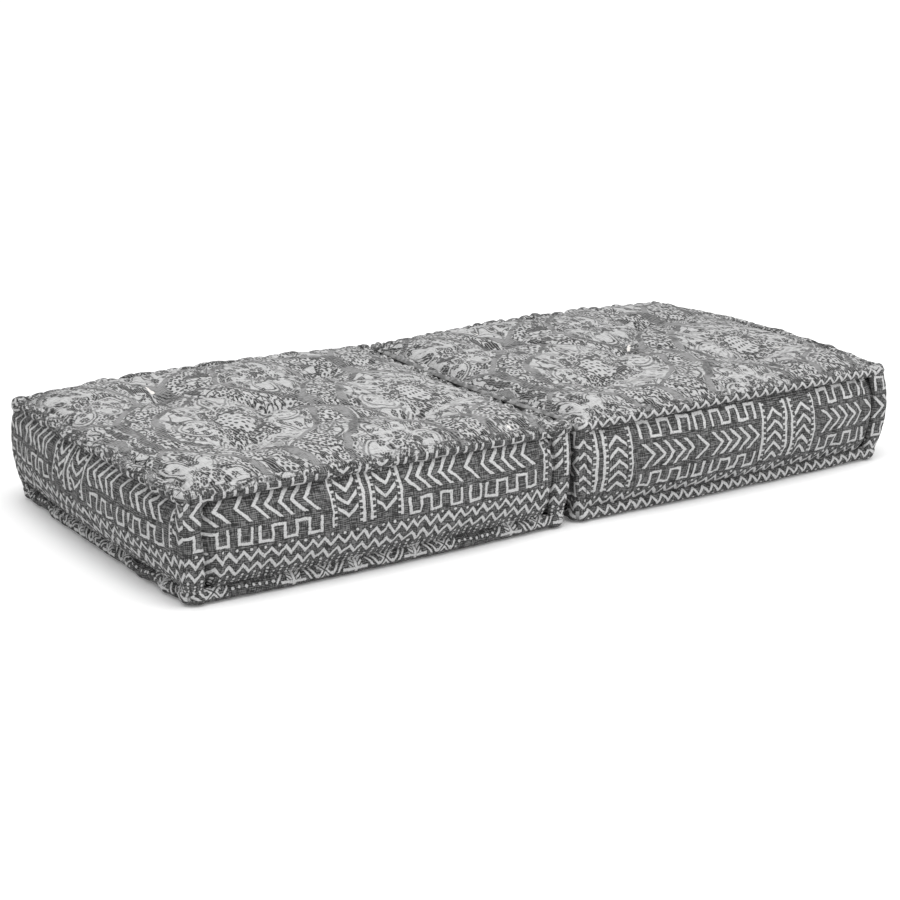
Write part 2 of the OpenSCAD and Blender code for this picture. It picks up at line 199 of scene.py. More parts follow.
# Cushion outline
# Each cushion is a square of four cloth walls between a top and a bottom panel, and its free edges bow outward.
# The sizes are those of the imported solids, but for a higher crown; the left cushion mirrors the right one.
FRONT, END, BACK, INNER = range(4)
ROLL_R = 0.011
INNER_X = 0.013
OUTER_X = 0.6574
END_Y = 0.3004
TOP_Z = 0.159
EDGE_RISE = 0.008
LOW_Z = 0.0128
TOP_BOW, LOW_BOW = 0.012, 0.008
LOW_INSET = 0.006
INNER_INSET = 0.007
SIDE_BULGE, CORNER_BULGE = 0.020, 0.009
INNER_BULGE, INNER_CORNER_BULGE = 0.012, 0.002
INNER_SAG = 0.007
CROWN = 0.1895
MID_X = (INNER_X + OUTER_X) / 2
TUFT_STEP = np.array([0.155, 0.150])
TUFT_GRID = np.array([[0, 0], [-1, -1], [1, -1], [1, 1], [-1, 1]])
HAND_SET = {
    "left": np.array([[-16, 14], [-10, 8], [7, 4], [8, 10], [-9, 6]]) / 1000,
    "right": np.array([[6, -2], [-7, 6], [9, 4], [6, -9], [-4, 8]]) / 1000,
}
SIDES = {"left": -1, "right": 1}
WALLS = ("front", "end", "back", "inner")


def swell(t):
    return 4 * t * (1 - t)


def bowed(s):
    return 1 - s * s


def wall_out(side, s, t):
    """How far a wall stands outside the top roll's corner line; s runs along it from -1 to 1, t up from 0 to 1."""
    inner = side == INNER
    inset = INNER_INSET if inner else LOW_INSET
    corner = INNER_CORNER_BULGE if inner else CORNER_BULGE
    bulge = INNER_BULGE if inner else SIDE_BULGE
    bow = 0 if inner else (LOW_BOW + (TOP_BOW - LOW_BOW) * t) * bowed(s)
    return corner * swell(t) - inset * (1 - t) + bow + (bulge - corner) * swell(t) * (1 - s**4)


def corner_out(side, t):
    return wall_out(side, 1.0, t)


def wall_xy(side, s, t, out, hold=0):
    """Plan point of a wall, which stops short of the corners by hold."""
    x0 = INNER_X - corner_out(INNER, t) + hold
    x1 = OUTER_X + corner_out(END, t) - hold
    y1 = END_Y + corner_out(FRONT, t) - hold
    along = x0 + (x1 - x0) * (1 + s) / 2
    if side == FRONT:
        return along, -END_Y - out
    if side == END:
        return OUTER_X + out, s * y1
    if side == BACK:
        return x0 + x1 - along, END_Y + out
    return INNER_X - out, -s * y1


def top_roll_z(side, s):
    return TOP_Z + (-INNER_SAG if side == INNER else EDGE_RISE) * bowed(s)


def cushion_piece(name, hand, points, faces, replaced, paint):
    """A smooth-shaded piece that rides on a cushion; its points are the right one's, mirrored for the left one."""
    mesh = bpy.data.meshes.new(name)
    mesh.from_pydata((points * [SIDES[hand], 1, 1]).tolist(), [], faces)
    mesh.shade_smooth()
    mesh.materials.append(paint)
    made = bpy.data.objects.new(name, mesh)
    scene.collection.objects.link(made)
    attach(made, hand + "_cushion")
    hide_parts(replaced)
    return made


def write_cloth(made, place, name="cloth"):
    """Stores where each point lies on its flat cloth, in metres, as the attribute that the prints read."""
    layer = made.data.attributes.new(name, "FLOAT_VECTOR", "POINT")
    layer.data.foreach_set("vector", np.asarray(place, np.float32).ravel())


def grid_faces(rows, cols, flip, first=0, closed=False):
    """Quads between the points of a grid, which may close on itself along its rows."""
    faces = []
    for r in range(rows - 1 + closed):
        for c in range(cols - 1):
            a, b = first + r * cols + c, first + (r + 1) % rows * cols + c
            faces.append((a, a + 1, b + 1, b) if flip else (a, b, b + 1, a + 1))
    return faces


def tube_faces(rings, sides, flip, closed=False, skipped=None):
    """Quads round a tube of rings, which may close on itself and may leave one strip open."""
    faces = []
    for r in range(rings - 1 + closed):
        a, b = r * sides, (r + 1) % rings * sides
        for c in range(sides):
            c1 = (c + 1) % sides
            if c != skipped:
                faces.append((a + c, b + c, b + c1, a + c1) if flip else (a + c, a + c1, b + c1, b + c))
    return faces


def end_caps(rings, sides, flip=False):
    """The two faces that close a tube's ends."""
    low = tuple(range(sides))
    high = tuple((rings - 1) * sides + c for c in low)
    return [low, high[::-1]] if flip else [low[::-1], high]


def tufts(hand):
    return np.array([MID_X, 0]) + TUFT_GRID * TUFT_STEP + HAND_SET[hand] * np.array([SIDES[hand], 1])


# Cushion cloth, blown up
# The five panels are cut a little larger than the filling, so that they crease where they are sewn and tied.
# A cloth simulation of the sewn shell gives those creases, which are added to the panels' outline.
ACROSS, DEEP, HIGH = 112, 104, 24
SEAM_IN = {FRONT: 0.0075, END: 0.0095, BACK: 0.0095, INNER: 0.0095}
SEAM_UP = {FRONT: 0.0060, END: 0.0030, BACK: 0.0030, INNER: 0.0020}
WALL_TUCK = 0.0055
WALL_SEAM_Z = 0.0098
WALL_HOLD = 0.0085
EDGE_REACH, EDGE_SHARE = 0.0125, 0.66
FINE = 2
TUFT_DEPTH, TUFT_REACH = 0.0270, 0.040
TIE_DEPTH, TIE_REACH = 0.010, 0.010
TIE_SINK = 0.010
TIE_Z = 0.1500
PULLS = [(0, corner, 0.0135) for corner in (1, 2, 3, 4)]
PULLS += [(corner, corner % 4 + 1, 0.0100) for corner in (1, 2, 3, 4)]
PULL_REACH, PULL_SLACK = 0.021, 0.40
CROWN_REACH = 0.11
EVEN_REACH = 0.06
TOP_FOLD, TOP_FOLD_FROM, TOP_FOLD_REACH = 0.0017, 0.003, 0.013
STAR_FOLD, STAR_FROM, STAR_REACH = 0.0034, 0.014, 0.017
PINCH_AT, PINCH_DEEP, PINCH_WIDE = 0.0192, 0.0110, 0.0060
BRIM_AT, BRIM_HIGH, BRIM_WIDE = 0.017, 0.0016, 0.01
BOXY_FORM, BOXY_OUT = 1.35, 0.006
SEAM_ROUND = 0.010
WALL_OUT = 0.0015
FULL_CORNER, END_CORNER, CORNER_REACH = 0.0022, 0.0026, 0.03
FRONT_FOLD, WALL_FOLD, BROAD_FOLD, WALL_FOLD_REACH = 0.0014, 0.0025, 0.0007, 0.021
TIE_HOLD = 0.007


def seam_line(side, s):
    """Where the top panel is sewn to its roll: a plan point and a height."""
    out = (0 if side == INNER else TOP_BOW * bowed(s)) - SEAM_IN[side]
    x, y = wall_xy(side, s, 1.0, out, SEAM_IN[side])
    return x, y, top_roll_z(side, s) + SEAM_UP[side]


def blend_to(a, b, t):
    return a + (b - a) * t


def gathers(along, seed):
    """The small folds that a seam's stitches pull into a cloth, as heights about zero along the seam."""
    rng = np.random.default_rng(seed)
    lengths, phases = rng.uniform(0.019, 0.042, 6), rng.uniform(0, 6.28, 6)
    return sum(np.sin(2 * math.pi * along / length + phase) for length, phase in zip(lengths, phases)) / 3


def top_grid(hand, fine=1):
    """The top panel's points, and the same points on the flat cloth."""
    across_steps, deep_steps = ACROSS * fine, DEEP * fine
    a = np.linspace(-1, 1, across_steps + 1)[:, None] * np.ones((1, deep_steps + 1))
    b = np.linspace(-1, 1, deep_steps + 1)[None, :] * np.ones((across_steps + 1, 1))
    front, back = seam_line(FRONT, a), seam_line(BACK, -a)
    inner, end = seam_line(INNER, -b), seam_line(END, b)
    u, v = (1 + a) / 2, (1 + b) / 2
    x = blend_to(inner[0], end[0], u)
    y = blend_to(front[1], back[1], v)
    edge_x = blend_to(inner[2], end[2], u)
    edge_y = blend_to(front[2], back[2], v)
    from_x = np.maximum(np.minimum(x - inner[0], end[0] - x), 0)
    from_y = np.maximum(np.minimum(y - front[1], back[1] - y), 0)
    near_x = (from_x + 1e-9) / (from_x + from_y + 2e-9)
    rim = edge_x * (1 - near_x) + edge_y * near_x
    inside = np.minimum(from_x, from_y)
    soft = (from_x * from_y) / np.sqrt(from_x**2 + from_y**2 + 1e-12)
    full = EDGE_SHARE * (1 - np.exp(-soft / EDGE_REACH))
    full += (1 - EDGE_SHARE) * (1 - np.exp(-((soft / CROWN_REACH) ** 1.3)))
    z = rim + (CROWN - rim) * full
    flat = np.stack([x, y, inside], -1)
    places = tufts(hand)
    near = [np.hypot(x - q[0], y - q[1]) for q in places]
    drop = np.maximum.reduce([TUFT_DEPTH * np.exp(-((r / TUFT_REACH) ** 1.5)) for r in near]) ** 3
    for first, last, deep in PULLS:
        p, q = places[first], places[last]
        along = q - p
        t = np.clip(((x - p[0]) * along[0] + (y - p[1]) * along[1]) / (along @ along), 0, 1)
        off = np.hypot(x - p[0] - t * along[0], y - p[1] - t * along[1])
        drop += (deep * np.exp(-((off / PULL_REACH) ** 1.6)) * (1 - swell(t) * PULL_SLACK)) ** 3
    drop = np.cbrt(drop) + np.maximum.reduce([TIE_DEPTH * np.exp(-r / TIE_REACH) for r in near])
    even = 1.0
    for r in near:
        lowest_point = np.unravel_index(np.argmin(r), r.shape)
        share = (z[lowest_point] - TIE_Z) / drop[lowest_point]
        even = even + (share - 1) * np.exp(-((r / EVEN_REACH) ** 2))
    drop = drop * even
    if fine > 1:
        edge = np.exp(-inside / TOP_FOLD_REACH) * (1 - np.exp(-((inside / TOP_FOLD_FROM) ** 2)))
        z = z + TOP_FOLD * edge * np.where(from_x < from_y, gathers(y, 61), gathers(x, 62))
        for number, (q, r) in enumerate(zip(places, near)):
            turn = np.arctan2(y - q[1], x - q[0])
            folds = np.cos((5 + number % 2) * turn + 1.7 * number) + 0.5 * np.cos(3 * turn + number)
            z = z + STAR_FOLD * folds * (r / STAR_FROM) * np.exp(-r / STAR_REACH)
    return np.stack([x, y, z - drop], -1), flat


def clear_of_seam(away):
    """Nought at a seam, and one well away from it."""
    return 1 - np.exp(-((away / SEAM_ROUND) ** 1.2))


def wall_grid(hand, side, fine=1):
    """A wall's points from its lower to its upper seam."""
    cols, t_rows = (ACROSS if side in (FRONT, BACK) else DEEP) * fine, HIGH * fine
    s = np.linspace(-1, 1, cols + 1)[None, :] * np.ones((t_rows + 1, 1))
    t = np.linspace(0, 1, t_rows + 1)[:, None] * np.ones((1, cols + 1))
    full = 1 - (1 - swell(t)) ** BOXY_FORM
    swollen = wall_out(side, s, t) + (swell(t) - full) * -BOXY_OUT
    low, high = LOW_Z + WALL_SEAM_Z, top_roll_z(side, s) - WALL_SEAM_Z
    z = blend_to(low, high, t)
    half = (OUTER_X - INNER_X) / 2 if side in (FRONT, BACK) else END_Y
    corner = (1 - np.abs(s)) * half
    rise = t * (high - low)
    puff = clear_of_seam(rise) * clear_of_seam((1 - t) * (high - low))
    out = swollen + WALL_TUCK * 0.9 * puff + WALL_OUT
    if side in (FRONT, BACK):
        beyond = np.maximum(corner - PINCH_AT, 0)
        pinched = PINCH_DEEP * np.exp(-((beyond / PINCH_WIDE) ** 1.5))
        pinched = pinched - BRIM_HIGH * np.exp(-(((beyond - BRIM_AT) / BRIM_WIDE) ** 2))
        if side == FRONT and hand == "right":
            pinched = np.where(s < 0, -FULL_CORNER * np.exp(-corner / CORNER_REACH), pinched)
        out = out - pinched
    else:
        out = out + END_CORNER * np.exp(-corner / CORNER_REACH) * puff
    if fine > 1:
        seed = 70 + 4 * side + (hand == "left") * 20
        folds = FRONT_FOLD if side == FRONT else WALL_FOLD
        for away, number in ((rise, 0), (high - low - rise, 1)):
            out = out + folds * gathers(s * half + 0.3 * away, seed + number) * np.exp(-away / WALL_FOLD_REACH) * puff
        out = out + BROAD_FOLD * gathers(s * half * 0.4 + 0.25 * rise, seed + 2) * puff
    x, y = wall_xy(side, s, t, out, WALL_HOLD)
    return np.stack([x, y, z], -1)


def shell_of(hand):
    """One closed mesh of the sewn panels, and which of its points the seams and ties hold."""
    top, _ = top_grid(hand)
    walls = [wall_grid(hand, side) for side in range(4)]
    points, faces = [top.reshape(-1, 3)], grid_faces(ACROSS + 1, DEEP + 1, False)
    held = np.zeros((ACROSS + 1, DEEP + 1), bool)
    held[[0, -1], :] = held[:, [0, -1]] = True
    for q in tufts(hand):
        held |= np.hypot(top[..., 0] - q[0], top[..., 1] - q[1]) < TIE_HOLD
    pins, first = [held.ravel()], top.shape[0] * top.shape[1]
    at = np.arange(first).reshape(ACROSS + 1, DEEP + 1)
    rims = [at[:, 0], at[-1, :], at[::-1, -1], at[0, ::-1]]
    starts, ring = [], []
    for side, wall in enumerate(walls):
        rows, cols = wall.shape[:2]
        starts.append(first)
        points.append(wall.reshape(-1, 3))
        faces += grid_faces(rows, cols, True, first)
        pinned = np.zeros((rows, cols), bool)
        pinned[[0, -1], :] = pinned[:, [0, -1]] = True
        pins.append(pinned.ravel())
        upper = first + (rows - 1) * cols
        faces += [
            (upper + c, upper + c + 1, int(rims[side][c + 1]), int(rims[side][c])) for c in range(cols - 1)]
        ring += list(range(first, first + cols))
        first += rows * cols
    for side in range(4):
        cols, after = walls[side].shape[1], (side + 1) % 4
        next_cols = walls[after].shape[1]
        last = [starts[side] + r * cols + cols - 1 for r in range(HIGH + 1)]
        then = [starts[after] + r * next_cols for r in range(HIGH + 1)]
        faces += [(last[r], then[r], then[r + 1], last[r + 1]) for r in range(HIGH)]
        faces.append((last[-1], then[-1], int(rims[side][-1])))
    faces.append(tuple(ring[::-1]))
    return np.concatenate(points), faces, np.concatenate(pins), starts


def blur(field, passes):
    """Evens out a grid of vectors; its border stays as it is."""
    for _ in range(passes):
        mean = field.copy()
        mean[1:-1, 1:-1] = (field[:-2, 1:-1] + field[2:, 1:-1] + field[1:-1, :-2] + field[1:-1, 2:]) / 4
        field = mean
    return field


PRESSURE = 4
SPARE_CLOTH = -0.035
MOST_SHIFT = 0.006
SMOOTH_SHARE = 0.12
SMOOTH_TOP, SMOOTH_WALL = 40, 14
LAST_FRAME = 20


def creases(hand):
    """How the simulated cloth departs from the plain outline, for the top panel and each wall."""
    points, faces, pins, starts = shell_of(hand)
    mesh = bpy.data.meshes.new("shell")
    mesh.from_pydata(points.tolist(), [], faces)
    shell = bpy.data.objects.new("shell", mesh)
    scene.collection.objects.link(shell)
    group = shell.vertex_groups.new(name="sewn")
    group.add(np.flatnonzero(pins).tolist(), 1, "REPLACE")
    cloth = shell.modifiers.new("cloth", "CLOTH")
    settings = cloth.settings
    settings.quality = 4
    settings.mass = 0.4
    settings.use_pressure = True
    settings.uniform_pressure_force = PRESSURE
    settings.vertex_group_mass = "sewn"
    settings.shrink_min = SPARE_CLOTH
    settings.tension_stiffness = settings.compression_stiffness = 25
    settings.shear_stiffness = 8
    settings.bending_stiffness = 1.2
    settings.effector_weights.gravity = 0
    cloth.collision_settings.use_collision = False
    cloth.collision_settings.use_self_collision = False
    cloth.point_cache.frame_start, cloth.point_cache.frame_end = 1, LAST_FRAME
    for step in range(1, LAST_FRAME + 1):
        scene.frame_set(step)
    settled = shell.evaluated_get(bpy.context.evaluated_depsgraph_get())
    after = np.array([v.co for v in settled.data.vertices], float)
    bpy.data.objects.remove(shell)
    scene.frame_set(1)
    shift = after - points
    shift[pins] = 0
    top_count = (ACROSS + 1) * (DEEP + 1)
    found = [shift[:top_count].reshape(ACROSS + 1, DEEP + 1, 3)]
    for side, start in enumerate(starts):
        cols = (ACROSS if side in (FRONT, BACK) else DEEP) + 1
        found.append(shift[start:start + (HIGH + 1) * cols].reshape(HIGH + 1, cols, 3))
    fields = []
    for at, field in enumerate(found):
        broad = blur(field, SMOOTH_TOP if at == 0 else SMOOTH_WALL)
        field = (field - broad) + broad * SMOOTH_SHARE
        size = np.linalg.norm(field, axis=-1, keepdims=True)
        fields.append(field * MOST_SHIFT / (MOST_SHIFT + size))
    return fields


CREASES = {hand: creases(hand) for hand in SIDES}

# Cloth prints
# Both cloths are slubby cotton: the sides' has a mud-cloth pattern, pale on dark grey, and the top's is a damask.
# The patterns are drawn as distances on the flat cloth, in millimetres, so that they follow it over folds and rolls.
MM = 1000


def soften(field, width=0.9):
    """Turns a distance in millimetres, positive inside a shape, into a mask with a woven edge."""
    return field.math("MULTIPLY_ADD", 1 / width, 0.5, clamp=True)


def repeat(value, pitch, middle=0.0):
    """Distance from the nearest of a row of places, one at the middle."""
    return abs((value - (middle - pitch / 2)) % pitch - pitch / 2)


def wave_of(value):
    return value.math("COSINE")


def across(a, b):
    return (a * a + b * b).math("SQRT")


def noise(place, scale, detail=2.0, rough=0.5, stretch=None, out=0):
    """Value of a noise over a place given in millimetres; scale is in waves a millimetre."""
    if stretch:
        place = vector_math("MULTIPLY", place, stretch)
    return place.node(
        "ShaderNodeTexNoise", {"Vector": place, "Scale": scale, "Detail": detail, "Roughness": rough},
        out=out, noise_dimensions="2D")


def parts_of(vector):
    split = vector.node("ShaderNodeSeparateXYZ", {0: vector})
    made = split.socket.node
    return [Val(made.outputs[k]) for k in range(3)]


def cloth_place(paint, layer="cloth"):
    """A place on the flat cloth, in millimetres."""
    made = paint.node_tree.nodes.new("ShaderNodeAttribute")
    made.attribute_name = layer
    stored = Val(made.outputs["Vector"])
    return stored.node("ShaderNodeVectorMath", {0: stored, "Scale": MM}, operation="SCALE")


def shifted(place, wobble, reach):
    """A place moved by a noise's colour, by up to half the reach each way."""
    step = vector_math("SUBTRACT", wobble, (0.5, 0.5, 0.5))
    return vector_math("MULTIPLY_ADD", step, (reach, reach, 0), place)


def woven(place, frayed=1.9):
    """A place moved about a little, as the lines of a weave are."""
    drift = noise(place, 0.045, detail=1.0, out=1)
    fray = noise(place, 0.42, detail=1.0, out=1)
    return shifted(shifted(place, drift, 4.2), fray, frayed)


def grey(level, warm=0.0):
    """Linear colour of an sRGB grey of 0 to 255."""
    levels = [(level + shift) / 255 for shift in (warm, 0, -warm)]
    return (*(c / 12.92 if c <= 0.04045 else ((c + 0.055) / 1.055) ** 2.4 for c in levels), 1)


def threads(place, coarse=1.0):
    """The weave: a mask of the threads that catch the light, and its height."""
    weft = noise(place, 0.5 / coarse, detail=1.0, stretch=(0.14, 1.0, 1))
    warp = noise(place, 0.5 / coarse, detail=1.0, stretch=(1.0, 0.16, 1))
    u, v, _ = parts_of(place)
    pitch = 2.9 * coarse
    rows = wave_of((v + weft * 1.5) * (2 * math.pi / pitch))
    fine = rows * 0.30 + wave_of((u + warp) * (2 * math.pi / pitch)) * 0.16
    return (weft * 0.6 + warp * 0.5 - 0.55) * 4.2 + fine


SIDE_REPEAT, ZIGZAG, MARKS = 380, 21, 101.7
STROKE = 2.3


def side_field(u, v):
    """The mud-cloth pattern of the side cloth, as a distance: columns of arrowheads, chevrons, keys and zigzags."""
    a = abs(v)
    turn = u % SIDE_REPEAT
    # two columns of arrowheads between ticked rails
    x = abs(abs(turn - 58.75) - 32.25)
    rail = STROKE - abs(x - 26)
    tick = (1.6 - repeat(v, 9.3)) & (2.7 - abs(x - 21.5))
    tip = v - x * 0.88
    arm = (STROKE - repeat(tip, 18.6) * 0.75) & (16.5 - x) & (tip + 46)
    column = (rail | tick | arm) & (50 - a)
    # chevrons and, below them, a key pattern, both in groups of five, one and five
    g = turn - a

    def chevrons(first, pitch, count):
        middle = first + pitch * (count - 1) / 2
        return (STROKE - repeat(g, pitch, first) * 0.707) & (pitch * count / 2 - abs(g - middle))

    chevron = (chevrons(128, 19, 5) | chevrons(235, 19, 1) | chevrons(262, 19.7, 5)) & (19.5 - a)

    def keys(first, cell, count):
        along = (turn - first) / cell
        upright = 2.2 - repeat(along, 1) * cell
        odd = (along * 0.5) % 1 > 0.5
        bar = 2.2 - abs(a - 51 + odd * 21)
        return (upright | bar) & (cell * count / 2 + 2.2 - abs(turn - (first + cell * count / 2)))

    key = (keys(131, 18, 5) | keys(237, 18, 1) | keys(267, 19.2, 5)) & (12.7 - abs(a - 40.5))
    # a double zigzag with rows of dots
    peak = repeat(u, ZIGZAG) * (26 / ZIGZAG)
    zigzag = 2.1 - abs(abs(a + peak - 86) - 10) * 0.63
    near_dots = 2.2 - across(repeat(u, ZIGZAG), a - 60)
    far_dots = 2.2 - across(repeat(u, ZIGZAG, ZIGZAG / 2), a - 99)
    small_dots = 1.8 - across(repeat(u, ZIGZAG / 2), abs(a - 108) - 3)
    # along the edge, groups of plant-like marks, and for the rest of the repeat larger dots
    late = (turn - 300) % SIDE_REPEAT
    big_dots = (STROKE - across(repeat(u, ZIGZAG / 2), a - 122)) & (late - 305)
    w = abs((late + 22.85) % MARKS - MARKS / 2)
    base = (STROKE - abs(a - 128)) & (20 - w)
    stem = (STROKE - w) & (12.5 - abs(a - 121))
    bough = (1.5 - abs(repeat(a + w * 0.8, 6.5, 126)) * 0.78) & (11 - w) & (w - 3.5) & (8 - abs(a - 117))
    d = a - 122
    twigs = (1.6 - abs(abs(w - 28 - d * 0.7) - 4.4) * 0.82) & (8.5 - abs(d))
    crossed = (1.3 - abs(abs(MARKS / 2 - w - abs(d)) - 3.4) * 0.71) & (9.5 - abs(d))
    side_dots = 1.8 - across(w - 39.5, abs(d) - 5)
    cross = (base | stem | bough | twigs | crossed | side_dots) & (305 - late)
    return column | chevron | key | zigzag | near_dots | far_dots | small_dots | big_dots | cross


# The second grey below is painted shade, which darkens the ground along the edges of the pale lines.
SIDE_GROUND, SIDE_PAINTED_SHADOW, SIDE_SLUB, SIDE_LINE, SIDE_WORN = 54, 38, 132, 210, 150


def side_colour(place, moved):
    """Colour and height of the side cloth, with painted shade along the edges of its pale lines."""
    u, v, _ = parts_of(moved)
    field = side_field(u, v)
    # the ground is darkened in a band along each pale line's edge: painted shade, as a raised line would cast
    lines, painted_line_shadow = soften(field), soften(field + 1.7, 1.5)
    slub = threads(place).math("ADD", 0.3, clamp=True)
    ground = mixed(grey(SIDE_GROUND), grey(SIDE_SLUB), slub)
    worn = noise(place, 0.35, detail=2.0, rough=0.7)
    pale = mixed(grey(SIDE_LINE), grey(SIDE_WORN), (worn - 0.52).math("MULTIPLY", 4.0, clamp=True))
    return mixed(mixed(ground, grey(SIDE_PAINTED_SHADOW), painted_line_shadow * 0.45), pale, lines), slub, lines


def cloth_shader(paint, surface, colour, slub, relief, bump=0.35, depth=0.0012):
    """A soft cotton cloth with its threads standing out."""
    height = slub * 0.5 + relief * 0.35
    normal = height.node("ShaderNodeBump", {"Strength": bump, "Distance": depth, "Height": height})
    rough = slub * -0.12 + 0.96
    shader = colour.node("ShaderNodeBsdfPrincipled", {
        "Base Color": colour, "Roughness": rough, "Normal": normal,
        "Specular IOR Level": 0.22, "Sheen Weight": 0.06, "Sheen Roughness": 0.6})
    paint.node_tree.links.new(shader.socket, surface)


side_cloth, side_surface = new_material("side_cloth")
place = cloth_place(side_cloth)
colour, slub, lines = side_colour(place, woven(place))
cloth_shader(side_cloth, side_surface, colour, slub, lines)


def ogee(x, y, half_w, half_h, power=1.3):
    """Distance inside a pointed oval."""
    t = (1 - (y / half_h) * (y / half_h)) | 0
    return (t.math("POWER", power) * half_w - x) * 0.8


def leaf(x, y, cx, cy, turn, long, wide, curl=0.0):
    """A pointed leaf, and the distance from its vein."""
    c, s = math.cos(math.radians(turn)), math.sin(math.radians(turn))
    along = (x - cx) * c + (y - cy) * s
    off = (y - cy) * c - (x - cx) * s + along * along * curl
    return wide - along * along * (wide / long**2) - abs(off), abs(off)


def scattered(place, pitch, loose):
    """What a Voronoi node tells of the nearest of scattered points: its distance, place and colour."""
    found = place.node(
        "ShaderNodeTexVoronoi", {"Vector": place, "Scale": 1 / pitch, "Randomness": loose}, voronoi_dimensions="2D")
    return [Val(found.socket.node.outputs[name]) for name in ("Distance", "Position", "Color")]


def lowest(*fields):
    """Where all of the shapes overlap."""
    found = fields[0]
    for field in fields[1:]:
        found = found & field
    return found


def highest(*fields):
    """All of the shapes together."""
    found = fields[0]
    for field in fields[1:]:
        found = found | field
    return found


TOP_PALE, TOP_SLUB, TOP_MID, TOP_DARK = 195, 142, 146, 44
TOP_CHECK, TOP_FRAY = 5.0, 0.9
PRINT_WIDE, PRINT_DEEP, DRAWN_OUT = 315, 273, 0.62
LINE = 1.5
LEAVES = (
    (128, 60, 55, 26, 10, 0.006), (98, 84, 135, 26, 10, -0.006), (42, 116, 15, 26, 10, 0.01),
    (157, 0, 90, 22, 10, 0.0), (118, 40, 118, 20, 8, 0.0), (92, 126, 100, 18, 9, 0.01))


def ring_dots(reach, angle, ring, count, radius):
    """Dots round a centre."""
    slip = repeat(angle, 2 * math.pi / count) * ring
    return radius - across(slip, reach - ring)


def flowers(moved, pitch, loose, radius, petals, rings=((0.52, 6),), dot=1.9):
    """Scattered flowers: their outline, and the dark seeds in rings round their hearts."""
    _, middle, hue = scattered(moved, pitch, loose)
    chance = parts_of(hue)[0]
    dx, dy, _ = parts_of(vector_math("SUBTRACT", moved, middle))
    reach, angle = across(dx, dy), dy.math("ARCTAN2", dx) + chance * 6
    body = (chance * 0.3 + 0.85) * radius + wave_of(angle * petals) * (radius * 0.17) - reach
    seeds = highest(dot - reach, *[ring_dots(reach, angle, radius * share, count, dot) for share, count in rings])
    return body, seeds


def lobe_ring(reach, angle, count, middle, squeeze, radius, turned=0.0):
    """Rounded petals in a ring about a centre: the distance inside them."""
    off = repeat(angle, 2 * math.pi / count, turned) * reach
    return radius - across(off, (reach - middle) * squeeze)


